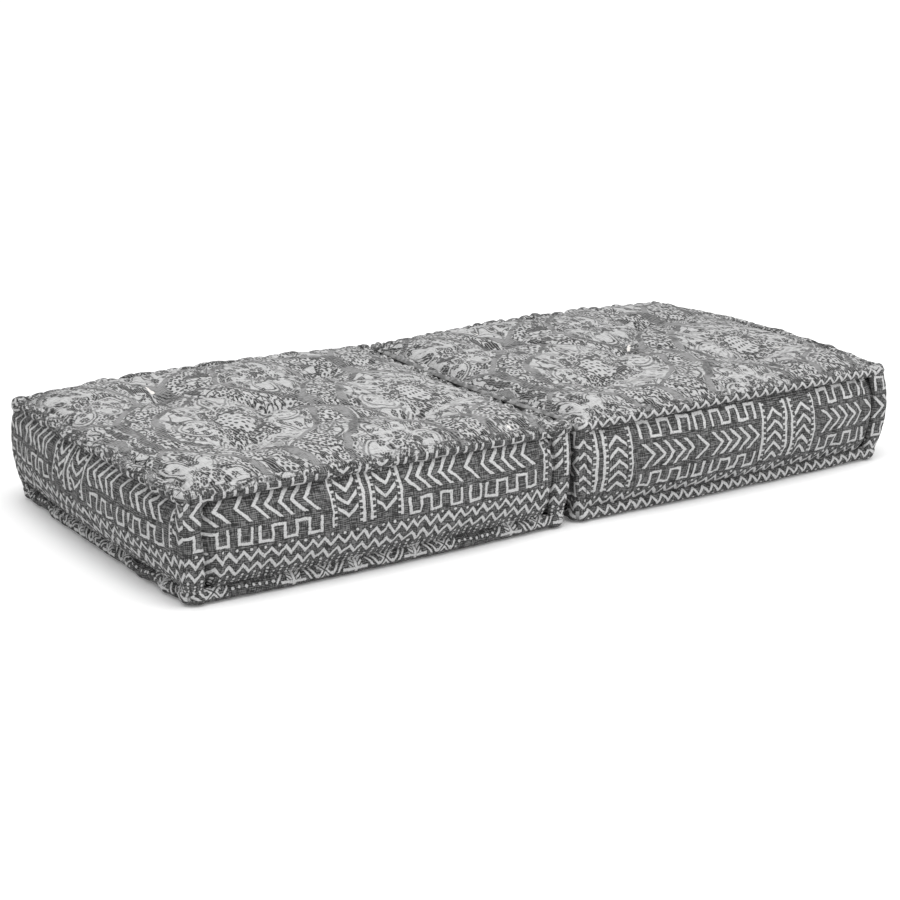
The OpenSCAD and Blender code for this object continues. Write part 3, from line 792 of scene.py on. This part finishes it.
def top_masks(moved):
    """The damask of the top cloth: masks of its pale figures, of its dark seeds and of its hatched grounds."""
    moved = shifted(moved, noise(moved, 0.010, detail=1.0, out=1), 34)
    moved = vector_math("MULTIPLY", moved, (1, DRAWN_OUT, 1))
    rosettes, rosette_seeds = flowers(moved, 43, 0.55, 17.5, 7, ((0.40, 6), (0.76, 11)), 2.1)
    blooms, bloom_seeds = flowers(moved, 25, 0.7, 11.0, 6)
    small_blooms, small_seeds = flowers(moved, 17, 0.5, 7.8, 5)
    spots = 2.3 - scattered(moved, 8.6, 0.3)[0] * 8.6
    x, y, _ = parts_of(moved)
    x, y = repeat(x, PRINT_WIDE), repeat(y, PRINT_DEEP)
    reach, angle = across(x, y), y.math("ARCTAN2", x)
    bx, by = PRINT_WIDE / 2 - x, PRINT_DEEP / 2 - y
    b_reach, b_angle = across(bx, by), by.math("ARCTAN2", bx)
    oval, small_oval = ogee(x, y, 122, 100), ogee(bx, by, 82, 84)
    inside, within = oval - 4, small_oval - 3
    outside = lowest(oval * -1 - 7, small_oval * -1 - 7)
    # the medallion: a seeded heart, small flowers round it, and two rings of rounded petals
    heart = 25 + wave_of(angle * 9) * 1.8 - reach
    crown = 50 + wave_of(angle * 7) * 6 - reach
    lobes = lobe_ring(reach, angle, 7, 70, 0.7, 23)
    tips = lobe_ring(reach, angle, 7, 84, 0.8, 20, math.pi / 7)
    # the smaller oval: a bunch of small flowers in a ring of rounded petals
    bunch = 25 + wave_of(b_angle * 6) * 5 - b_reach
    b_lobes = lobe_ring(b_reach, b_angle, 6, 44, 0.8, 18)
    made = [leaf(x, y, *shape) for shape in LEAVES]
    leaves = highest(*[body for body, _ in made])
    veins = highest(*[lowest(1.2 - off, body - 2) for body, off in made])
    ring, b_ring = lowest(crown * -1, inside), lowest(bunch * -1, within)
    loose, b_loose = lowest(ring, highest(lobes, tips) * -1), lowest(b_ring, b_lobes * -1)
    # what fills the medallion round its petals: dashed rays and a scalloped rim
    rays = lowest(1.1 - repeat(angle, 2 * math.pi / 44) * reach, 3.2 - repeat(reach, 11), lobes - 7)
    rim = LINE * 0.8 - abs(oval - 11 - abs(wave_of(angle * 9)) * 7)
    scrolls = lowest(1.2 - repeat(noise(moved, 0.028, detail=1.0) * 95, 13.0), highest(loose, b_loose))
    pale = highest(
        lowest(highest(blooms, leaves, rosettes), outside), lowest(highest(heart, crown * -1), inside),
        lowest(small_blooms, highest(inside, within)), b_ring, LINE - abs(oval + 9), LINE * 0.8 - abs(small_oval + 9))
    petals = highest(LINE - abs(lobes), LINE * 0.7 - abs(lobes - 5), lowest(LINE - abs(tips), lobes * -1))
    cut = highest(
        lowest(petals, ring, reach - 54),
        lowest(highest(rays, lowest(rim, lobes * -1)), ring), scrolls,
        lowest(highest(LINE - abs(b_lobes), LINE * 0.7 - abs(b_lobes - 5)), b_ring, b_reach - 34),
        lowest(LINE * 0.8 - abs(blooms), highest(outside, loose, b_loose)), lowest(LINE - abs(heart), inside),
        lowest(highest(veins, LINE * 1.1 - abs(rosettes)), outside))
    flecked = noise(moved, 0.035, detail=1.0) * 60 - 27
    seeds = highest(
        lowest(spots, heart - 1, inside), lowest(rosette_seeds, rosettes, outside),
        lowest(small_seeds, highest(lowest(crown - 2, heart * -1 - 2, inside), lowest(bunch, within))),
        lowest(
            bloom_seeds,
            highest(lowest(outside, rosettes * -1 - 3, leaves * -1), lowest(loose, tips * -1 - 2), b_loose)),
        lowest(small_seeds, flecked, highest(lowest(ring, reach - 58), b_ring)))
    zone = soften(noise(moved, 0.02, detail=2.0) * 70 - 33, 5)
    rows = parts_of(moved)[0] + parts_of(moved)[1] * 0.5
    hatch = soften(1.3 - repeat(rows, 4.2) * 0.9, 1.0)
    grounds = highest(lowest(crown, inside), lowest(bunch, within), outside)
    return soften(lowest(pale, cut * -1), 0.9), soften(seeds, 0.8), hatch * highest(zone * 0.7, soften(grounds, 6))


def top_colour(place, moved):
    """Colour and height of the top cloth."""
    pale, dark, hatch = top_masks(moved)
    x, y, _ = parts_of(place)
    per_check = 2 * math.pi / TOP_CHECK
    checks = wave_of((x + y * 0.6) * per_check) * wave_of((x - y * 0.6) * per_check)
    slub = threads(place) + checks * 0.32
    ground = mixed(grey(TOP_MID), grey(TOP_DARK), (hatch - slub * 0.5).math("ADD", 0.08, clamp=True))
    light = mixed(grey(TOP_PALE), grey(TOP_SLUB), (slub * -0.85).math("ADD", 0.08, clamp=True))
    return mixed(mixed(ground, light, pale), grey(TOP_DARK), dark * 0.9), slub, pale


top_cloth, top_surface = new_material("top_cloth")
place = cloth_place(top_cloth)
colour, slub, lines = top_colour(place, woven(place, TOP_FRAY))
cloth_shader(top_cloth, top_surface, colour, slub, lines, bump=0.25)


def sheet_object(name, grid, flat, hand, turned, replaced, paint):
    """One layer of cloth or webbing, as a sheet that is stretched over the piece under it."""
    rows, cols = grid.shape[:2]
    faces = grid_faces(rows, cols, (hand == "left") != turned)
    made = cushion_piece(name, hand, grid.reshape(-1, 3), faces, replaced, paint)
    write_cloth(made, flat)
    return made


def creased(hand, number):
    """The creases of one panel, for its finer grid."""
    field = CREASES[hand][number]
    for axis in (0, 1):
        field = np.moveaxis(field, axis, 0)
        finer = np.empty((FINE * (len(field) - 1) + 1,) + field.shape[1:])
        for k in range(FINE):
            finer[k:-1:FINE] = field[:-1] + (field[1:] - field[:-1]) * k / FINE
        finer[-1] = field[-1]
        field = np.moveaxis(finer, 0, axis)
    return field


def side_place(hand, side, points):
    """Where points of a side lie on its patterned cloth: along the pattern, and up from the arrows' tips."""
    x, y, z = points[..., 0], points[..., 1], points[..., 2]
    if hand == "left":
        along = {FRONT: 0.445 - x, END: 0.098 - y, BACK: x + 0.11, INNER: y + 0.13}[side]
        return np.stack([along, z - 0.138, 0 * z], -1)
    along = {FRONT: 0.485 - x, END: y + 0.05, BACK: x + 0.2, INNER: 0.02 - y}[side]
    return np.stack([along, 0.099 - z, 0 * z], -1)


TOP_CENTRE = {"left": (-0.455, -0.070), "right": (0.215, -0.095)}
for hand, sign in SIDES.items():
    grid, flat = top_grid(hand, FINE)
    flat = flat * [sign, 1, 1] - [*TOP_CENTRE[hand], 0]
    top_panel = sheet_object(
        hand + "_top_panel", grid + creased(hand, 0), flat, hand, False,
        hand + "_top_cover", top_cloth)
    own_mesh(top_panel)
    for side, wall in enumerate(WALLS):
        grid = wall_grid(hand, side, FINE)
        flat = side_place(hand, side, grid)
        sheet_object(
            f"{hand}_{wall}_panel", grid + creased(hand, 1 + side), flat, hand, True,
            f"{hand}_{wall}_band", side_cloth)

# Edge rolls
# The edges of the cloth are rolled over a strip of wadding and quilted by hand, which leaves a lumpy roll.
# Each cushion has one round its top and one round its bottom, with a pinched ear at every corner.
RING_STEP = 0.0026
TURN_STEPS = 24
FILLET = 0.016
EAR_OUT = 0.008
STITCH_STEP = 0.027
STITCH_WIDE, STITCH_DEEP = 0.0040, 0.17
EAR_SWELL, EAR_WIDE = 0.22, 0.014
CRUMPLES = ((-0.017, 0.9), (-0.006, -0.6), (0.008, 0.7))
LUMPS = {FRONT: 0.45, END: 1.35, BACK: 1.25, INNER: 1.4}
LOWEST = 0.0004


def ring_path(upper):
    """The middle line of an edge roll: points, outward directions, sides with places along them, and lengths."""
    t = 1.0 if upper else 0.0
    s = np.linspace(-1, 1, 400)
    lines, marks = [], []
    for side in range(4):
        bow = 0 if side == INNER else (TOP_BOW if upper else LOW_BOW) * bowed(s)
        x, y = wall_xy(side, s, t, bow + corner_out(side, t))
        z = top_roll_z(side, s) if upper else LOW_Z + 0 * s
        line = np.stack([x + 0 * s, y + 0 * s, z], -1)
        clear = [np.linalg.norm(line - line[tip], axis=1) > FILLET for tip in (0, -1)]
        keep = clear[0] & clear[1]
        lines.append(line[keep])
        marks.append(side + (1 + s[keep]) / 2)
    points, places = [], []
    w = np.linspace(0, 1, 12)[1:-1, None]
    for side in range(4):
        after = (side + 1) % 4
        x, y = wall_xy(side, 1.0, t, corner_out(side, t))
        outward = (1 if side in (FRONT, END) else -1, 1 if side in (END, BACK) else -1)
        corner = np.array([x + outward[0] * EAR_OUT, y + outward[1] * EAR_OUT, TOP_Z + 0.001 if upper else LOW_Z])
        points += [lines[side], (1 - w) ** 2 * lines[side][-1] + 2 * w * (1 - w) * corner + w**2 * lines[after][0]]
        low, high = marks[side][-1], side + 1 + marks[after][0] % 1
        places += [marks[side], low + (high - low) * w[:, 0]]
    points, places = np.concatenate(points), np.concatenate(places)
    points = np.concatenate([points, points[:1]])
    places = np.append(places, places[0] + 4)
    run = np.append(0, np.cumsum(np.linalg.norm(np.diff(points, axis=0), axis=1)))
    length = run[-1]
    count = int(length / RING_STEP)
    at = np.arange(count) / count * length
    centre = np.stack([np.interp(at, run, points[:, k]) for k in range(3)], -1)
    ahead = np.roll(centre, -2, 0) - np.roll(centre, 2, 0)
    out = np.stack([ahead[:, 1], -ahead[:, 0], 0 * at], -1)
    out /= np.linalg.norm(out, axis=1, keepdims=True)
    return centre, out, np.interp(at, run, places) % 4, at, length


SEAM_LIFT = {
    "left": {FRONT: 0.0030, END: 0.0015, BACK: 0.003, INNER: 0.004},
    "right": {FRONT: 0.0048, END: 0.002, BACK: 0.003, INNER: 0.004}}
TUCKED = {"left": (0.012, 0.002), "right": (0.006, 0.006)}


def roll_places(hand, centre, out, mark, angle, upper):
    """Where a roll's points lie on the side cloth, with their height above the seam, and on the top cloth."""
    side = mark.astype(int)
    bend = np.where(angle > math.pi, angle - 2 * math.pi, angle)
    along = np.zeros(len(mark))
    for wall in range(4):
        here = side == wall
        along[here] = side_place(hand, wall, centre[here])[:, 0]
    risen = centre.copy()
    risen[:, 2] += TUCKED[hand][0] if upper else -TUCKED[hand][1]
    up = side_place(hand, FRONT, risen)[:, 1]
    rise = 1 if hand == "left" else -1
    up = up[:, None] + rise * ROLL_R * bend[None, :]
    lift = np.array([SEAM_LIFT[hand][k] for k in side])[:, None]
    above = ROLL_R * np.sin(angle)[None, :] - lift if upper else np.full(up.shape, -0.1)
    spread = centre[:, None, :2] + out[:, None, :2] * (ROLL_R * (math.pi / 2 - bend))[None, :, None]
    spread = spread * [SIDES[hand], 1] - TOP_CENTRE[hand]
    return np.stack([along[:, None] + 0 * up, up, above], -1), np.concatenate([spread, 0 * up[..., None]], -1)


def edge_roll(name, hand, upper, replaced, seed):
    """A quilted roll round a cushion, top or bottom."""
    rng = np.random.default_rng(seed)
    centre, out, mark, at, length = ring_path(upper)
    lump = np.array([LUMPS[int(k)] for k in mark])
    window = np.hanning(25)
    lump = np.convolve(np.concatenate([lump[-12:], lump, lump[:12]]), window / window.sum(), "valid")
    ear = np.exp(-((np.minimum(mark % 1, 1 - mark % 1) * 0.64 / EAR_WIDE) ** 2))
    stitches = int(length / STITCH_STEP)
    place = (np.arange(stitches) + rng.uniform(-0.22, 0.22, stitches)) * length / stitches
    deep = rng.uniform(0.6, 1.3, stitches)
    rope = np.interp(place, at, lump)
    slant = rng.uniform(-0.25, 0.85, stitches) + 0.9 * (rope - 0.35)
    deep *= 0.85 + 0.5 * rope
    angle = np.arange(TURN_STEPS) / TURN_STEPS * 2 * math.pi
    pinch = np.zeros((len(at), TURN_STEPS))
    corners = at[np.flatnonzero(np.diff(np.floor(mark)) != 0)]
    place = np.append(place, [corner + off for corner in corners for off, _ in CRUMPLES])
    slant = np.append(slant, [lean for _ in corners for _, lean in CRUMPLES])
    deep = np.append(deep, np.ones(len(place) - stitches))
    for k in range(len(place)):
        lean = slant[k] * np.sin(angle - 0.6) * ROLL_R
        off = (at[:, None] - place[k] - lean + length / 2) % length - length / 2
        pinch += deep[k] * np.exp(-((np.abs(off) / STITCH_WIDE) ** 1.5))
    waves = sum(
        rng.uniform(0.06, 0.12) * np.sin(2 * math.pi * n * at / length + rng.uniform(0, 6.28))
        for n in rng.integers(18, 90, 8))
    radius = ROLL_R * (
        1.03 + 0.05 * (waves * lump)[:, None] - STITCH_DEEP * pinch * lump[:, None] + EAR_SWELL * ear[:, None])
    ring = centre[:, None, :] + (radius * np.cos(angle))[..., None] * out[:, None, :]
    ring[..., 2] += radius * np.sin(angle)
    wander = rng.normal(0, 0.0011, (2, stitches))
    place = place[:stitches]
    shifts = [np.interp(at, np.append(place, length + place[0]), np.append(w, w[0])) * lump for w in wander]
    ring += shifts[0][:, None, None] * out[:, None, :]
    ring[..., 2] = np.maximum(ring[..., 2] + shifts[1][:, None], LOWEST)
    faces = tube_faces(len(at), TURN_STEPS, hand == "left", closed=True)
    made = cushion_piece(name, hand, ring.reshape(-1, 3), faces, replaced, roll_cloth)
    side_spread, top_spread = roll_places(hand, centre, out, mark, angle, upper)
    write_cloth(made, side_spread)
    write_cloth(made, top_spread, "top")


roll_cloth, roll_surface = new_material("roll_cloth")
place = cloth_place(roll_cloth)
side_paint, side_slub, side_lines = side_colour(place, woven(place))
ragged = noise(place, 0.07, detail=2.0, stretch=(1, 0, 0)) * 11 - 5.5
fringe = noise(place, 0.4, detail=1.0, stretch=(1, 0.3, 0)) * 3 - 1.5
upper_cloth = soften(parts_of(place)[2] + ragged + fringe, 0.8)
top_place = cloth_place(roll_cloth, "top")
top_paint, top_slub, top_lines = top_colour(top_place, woven(top_place, TOP_FRAY))
# Dark flecks on the rolls' top cloth are partly its own darker hatching and partly painted shade of the rolls.
flecks_and_roll_shade = soften(noise(top_place, 0.10, detail=2.0, rough=0.7) * 70 - 38, 1.5)
top_paint = mixed(top_paint, grey(66), flecks_and_roll_shade * 0.8)
cloth_shader(
    roll_cloth, roll_surface, mixed(side_paint, top_paint, upper_cloth),
    side_slub + (top_slub - side_slub) * upper_cloth, side_lines + (top_lines - side_lines) * upper_cloth)

for number, hand in enumerate(SIDES):
    edge_roll(hand + "_top_edge_roll", hand, True, hand + "_top_roll", 11 + number)
    edge_roll(hand + "_bottom_edge_roll", hand, False, hand + "_bottom_roll", 21 + number)

# Corner rolls
# The walls' upright edges are pinched over wadding in the same way, into a short roll round each corner.
# The seam lies on the corner's edge, and the quilting pulls a crease into the front or back cloth beside it.
CORNER_R, INNER_CORNER_R = 0.0098, 0.0082
CORNER_STEPS = 44
STRIP_LONG, STRIP_TAPER, STRIP_BEND = 0.0175, 0.0150, 0.007
EDGE_TURN = math.radians(48)


def strip_section(radius, long, pinched):
    """The roll's outline in plan, outward from its middle: points, and how far along each cloth they lie."""
    back = np.linspace(-1, 0, 10)[:-1]
    ends = [np.stack([radius - 0.0025 * back**2, STRIP_TAPER * back], -1)]
    arc = np.linspace(0, EDGE_TURN, 9)
    ends.append(radius * np.stack([np.cos(arc), np.sin(arc)], -1))
    ends = np.concatenate(ends)
    arc = np.linspace(EDGE_TURN, math.pi / 2, 9)
    fronts = [radius * np.stack([np.cos(arc), np.sin(arc)], -1)]
    if pinched:
        w = np.linspace(0, 1, 9)[1:]
        fronts.append(np.stack([-long * w, radius + 0.0006 * np.sin(math.pi * w)], -1))
        bend = np.radians(np.linspace(90, 200, 10))[1:]
        fronts.append(np.stack([-long + STRIP_BEND * np.cos(bend), radius + STRIP_BEND * (np.sin(bend) - 1)], -1))
    else:
        w = np.linspace(0, 1, 10)[1:]
        fronts.append(np.stack([-STRIP_TAPER * w, radius - 0.0025 * w**2], -1))
    fronts = np.concatenate(fronts)
    run = [np.append(0, np.cumsum(np.linalg.norm(np.diff(part, axis=0), axis=1))) for part in (ends, fronts)]
    return ends, fronts, run[0][-1] - run[0], run[1]


def level_points(x, y, z):
    return np.stack(np.broadcast_arrays(x, y, z), -1)


def corner_roll(hand, number, seed):
    """One upright roll on a corner, between the two edge rolls."""
    rng = np.random.default_rng(seed)
    t = np.linspace(0, 1, CORNER_STEPS + 1)
    end, front = number in (1, 2), number < 2
    radius = CORNER_R if end else INNER_CORNER_R
    pinched = not (front and hand == "right" and not end)
    x = OUTER_X + corner_out(END, t) if end else INNER_X - corner_out(INNER, t)
    y = (END_Y + corner_out(FRONT, t)) * (-1 if front else 1)
    z = blend_to(LOW_Z + 0.004, TOP_Z - 0.002, t)
    pinches = (np.arange(5) + 0.5 + rng.uniform(-0.2, 0.2, 5)) / 5
    pinch = sum(np.exp(-(((t - p) / 0.024) ** 2)) for p in pinches)
    wander = 0.0016 * np.sin(t * 7 + rng.uniform(0, 6)) + 0.0009 * np.sin(t * 17 + rng.uniform(0, 6))
    way = (1 if end else -1, -1 if front else 1)
    rows, marks = [], []
    for k, step in enumerate(t):
        long = STRIP_LONG * (0.55 + 0.45 * min(step / 0.3, 1)) + wander[k]
        ends, fronts, end_run, front_run = strip_section(radius * (1.02 - 0.07 * pinch[k]), long, pinched)
        section = np.concatenate([ends, fronts])
        rows.append(level_points(x[k] + way[0] * section[:, 0], y[k] + way[1] * section[:, 1], z[k]))
        edge_x, edge_y = x[k] + way[0] * radius, y[k] + way[1] * radius
        on_end = level_points(x[k], edge_y - way[1] * end_run, z[k])
        on_front = level_points(edge_x - way[0] * front_run, y[k], z[k])
        marks.append(np.concatenate([
            side_place(hand, END if end else INNER, on_end), side_place(hand, FRONT if front else BACK, on_front)]))
    ring, spread = np.stack(rows), np.stack(marks)
    count = ring.shape[1]
    inward = (hand == "right") != (way[0] * way[1] > 0)
    # the two cloths meet in a seam, whose doubled points need no faces between them
    faces = tube_faces(CORNER_STEPS + 1, count, inward, skipped=len(ends) - 1)
    faces += end_caps(CORNER_STEPS + 1, count, inward)
    made = cushion_piece(
        f"{hand}_corner_roll_{number + 1}", hand, ring.reshape(-1, 3), faces, hand + "_corner_rolls", side_cloth)
    write_cloth(made, spread)


for hand in SIDES:
    for number in range(4):
        corner_roll(hand, number, 31 + number)

# Underside
# A plain cotton panel, sewn into the bottom roll, on which the cushion rests.
# The tufting ties pull it up a little.
POCKET_R = 0.014
POCKET_H = 0.009
LOW_EDGE_Z = 0.0068
REST_Z = 0.0009
UNDER_STEPS = 40
UNDER_IN = 0.0085


def under_grid(hand):
    """Points of the underside, a grid from the front to the back."""
    a = np.linspace(-1, 1, 2 * UNDER_STEPS + 1)[:, None] * np.ones((1, 2 * UNDER_STEPS + 1))
    b = a.T
    lines = [
        wall_xy(side, s, 0.0, (0 if side == INNER else LOW_BOW * bowed(s)) + corner_out(side, 0.0) - UNDER_IN, UNDER_IN)
        for side, s in ((FRONT, a), (END, b), (BACK, -a), (INNER, -b))]
    x = blend_to(lines[INNER][0], lines[END][0], (1 + a) / 2)
    y = blend_to(lines[FRONT][1], lines[BACK][1], (1 + b) / 2)
    inside = np.minimum((1 - np.abs(a)) * 0.32, (1 - np.abs(b)) * 0.3)
    z = REST_Z + (LOW_EDGE_Z - REST_Z) * np.exp(-((inside / 0.009) ** 1.4))
    for q in tufts(hand):
        z = z + POCKET_H * np.exp(-((np.hypot(x - q[0], y - q[1]) / POCKET_R) ** 1.6))
    return np.stack([x, y, z], -1)


plain_cloth, plain_surface = new_material("plain_cloth")
place = cloth_place(plain_cloth)
slub = threads(place, 1.3)
uneven = noise(place, 0.02, detail=3.0)
ground = mixed(grey(150, 3), grey(196, 5), (slub * 0.6 + uneven * 0.5).math("ADD", 0.1, clamp=True))
cloth_shader(plain_cloth, plain_surface, ground, slub, uneven, bump=0.45)
for hand in SIDES:
    grid = under_grid(hand)
    sheet_object(
        hand + "_bottom_panel", grid, grid * [1, 1, 0], hand, True,
        hand + "_bottom_cover", plain_cloth)

# Filling
# A block of carded cotton wadding that fills each cover and gives it its crown.
# The cover and its ties hold it.
FILL_GAP = 0.0032
FILL_LOW = 0.012


def filling(hand):
    """The wadding, which lies just inside the cover's panels."""
    points, faces, _, _ = shell_of(hand)
    mesh = bpy.data.meshes.new("wadding")
    mesh.from_pydata(points.tolist(), [], faces)
    normals = np.array([v.normal for v in mesh.vertices])
    points = points - normals * FILL_GAP
    points[:, 2] = np.maximum(points[:, 2], FILL_LOW)
    bpy.data.meshes.remove(mesh)
    faces = [f[::SIDES[hand]] for f in faces]
    made = cushion_piece(hand + "_filling", hand, points, faces, hand + "_cotton_fill", wadding)
    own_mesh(made)
    write_cloth(made, points)


wadding, wadding_surface = new_material("cotton_wadding")
place = cloth_place(wadding)
fibre = noise(place, 0.35, detail=5.0, rough=0.7, stretch=(0.3, 1, 1))
clump = noise(woven(place), 0.05, detail=3.0)
fluff = mixed(grey(214, 5), grey(240, 3), (fibre * 0.7 + clump * 0.5).math("SUBTRACT", 0.1, clamp=True))
cloth_shader(wadding, wadding_surface, fluff, fibre, clump, bump=0.6, depth=0.003)
for hand in SIDES:
    filling(hand)

# Tufting ties
# Five ties of waxed twine go through each cushion and are knotted on both faces, which draws the cloth down.
# Each has an overhand knot and two short tails at either end.
TWINE_R = 0.0012
KNOT_R = 0.0027
KNOT_STEPS = 72
TAIL, TAIL_RISE = 0.011, 0.0022


def twine_tube(path, radius, sides=8):
    """A closed-ended tube along a path, as points and faces."""
    ahead = np.gradient(path, axis=0)
    ahead /= np.linalg.norm(ahead, axis=1, keepdims=True)
    across_it = np.cross(ahead, [0.31, 0.17, 0.94])
    across_it /= np.linalg.norm(across_it, axis=1, keepdims=True)
    other = np.cross(ahead, across_it)
    turn = np.arange(sides) / sides * 2 * math.pi
    ring = path[:, None] + radius * (
        np.cos(turn)[None, :, None] * across_it[:, None] + np.sin(turn)[None, :, None] * other[:, None])
    return ring.reshape(-1, 3), tube_faces(len(path), sides, False) + end_caps(len(path), sides)


def tie_knots(name, hand, replaced, facing):
    """The knots of a cushion's ties on one face: an overhand knot and two short tails each."""
    box_lo, box_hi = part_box(replaced)
    level = (box_lo[2] + box_hi[2]) / 2 - (TIE_SINK if facing > 0 else 0)
    points, faces, rng = [], [], np.random.default_rng(51)
    for q in tufts(hand):
        t = np.linspace(0, 2 * math.pi, KNOT_STEPS)
        knot = np.stack([
            (2 + np.cos(3 * t)) * np.cos(2 * t), (2 + np.cos(3 * t)) * np.sin(2 * t), 1.1 * np.sin(3 * t)], -1)
        parts = [(knot * KNOT_R / 3, TWINE_R)]
        for end in (1, -1):
            way = rng.uniform(0, 2 * math.pi)
            w = np.linspace(0, 1, 14)
            bend = way + end * 0.9 * w
            rise = facing * (TWINE_R + TAIL_RISE * swell(w * 0.8))
            parts.append((np.stack([w * TAIL * np.cos(bend), w * TAIL * np.sin(bend), rise], -1), TWINE_R * 0.8))
        for path, radius in parts:
            spin, made_faces = twine_tube(path, radius)
            made_points = spin + [q[0], q[1], 0]
            first = sum(len(p) for p in points)
            points.append(made_points)
            faces += [tuple(first + k for k in f) for f in made_faces]
    points = np.concatenate(points) + [0, 0, level]
    points[:, 2] = np.maximum(points[:, 2], LOWEST)
    cushion_piece(name, hand, points, faces, replaced, twine)


def tie_twine(hand):
    """The five lengths of twine that run through a cushion from knot to knot."""
    box_lo, box_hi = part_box(hand + "_tuft_twine")
    w = np.linspace(0, 1, 40)
    points, faces = [], []
    for number, q in enumerate(tufts(hand)):
        bow = 0.0012 * np.sin(math.pi * w)
        z = blend_to(box_lo[2] + 0.001, box_hi[2] - TIE_SINK, w)
        spin, made_faces = twine_tube(np.stack([q[0] + bow, q[1] + 0 * w, z], -1), TWINE_R)
        faces += [tuple(number * len(spin) + k for k in f) for f in made_faces]
        points.append(spin)
    cushion_piece(hand + "_tie_twine", hand, np.concatenate(points), faces, hand + "_tuft_twine", twine)


twine, twine_surface = new_material("waxed_twine")
place = Val(twine.node_tree.nodes.new("ShaderNodeTexCoord").outputs["Object"])
lay = place.node(
    "ShaderNodeTexWave", {"Vector": place, "Scale": 420.0, "Distortion": 3.0, "Detail": 2.0},
    wave_type="BANDS", bands_direction="DIAGONAL")
strand = mixed(grey(58), grey(112), lay)
cloth_shader(twine, twine_surface, strand, lay, lay, bump=0.5, depth=0.0006)
for hand in SIDES:
    tie_knots(hand + "_top_ties", hand, hand + "_top_knots", 1)
    tie_knots(hand + "_bottom_ties", hand, hand + "_bottom_knots", -1)
    tie_twine(hand)

# Hinge tape
# A strip of herringbone cotton webbing joins the cushions: it is sewn along both inner top rolls.
# It is made as two leaves that meet on the fold's line, one on each cushion.
TAPE_R = 0.0121
TAPE_FROM, TAPE_TO = 118, 179.5


def tape_leaf(hand):
    """One leaf of the tape, bent round the roll that it is sewn to."""
    low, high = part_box(hand + "_hinge_tape")
    y = np.linspace(low[1], high[1], 161)[:, None]
    turn = np.radians(np.linspace(TAPE_FROM, TAPE_TO, 15))[None, :]
    drop = top_roll_z(INNER, y / END_Y) - TOP_Z
    grid = np.stack([
        INNER_X + TAPE_R * np.cos(turn) + 0 * y, y + 0 * turn, TOP_Z + TAPE_R * np.sin(turn) + drop], -1)
    flat = np.stack([y + 0 * turn, TAPE_R * turn + 0 * y, 0 * y * turn], -1)
    sheet_object(
        hand + "_tape", grid, flat, hand, False,
        hand + "_hinge_tape", webbing)


webbing, webbing_surface = new_material("tape_webbing")
place = cloth_place(webbing)
u, v, _ = parts_of(place)
ribs = wave_of((v + repeat(u, 7) * 0.9) * (2 * math.pi / 1.5)) * 0.5 + 0.5
mottled = noise(place, 0.09, detail=2.0).math("MULTIPLY_ADD", 3.0, -1.0, clamp=True)
tape_paint = mixed(mixed(grey(92), grey(128), ribs), mixed(grey(140), grey(178), ribs), mottled)
cloth_shader(webbing, webbing_surface, tape_paint, ribs, ribs, bump=0.5)
for hand in SIDES:
    tape_leaf(hand)
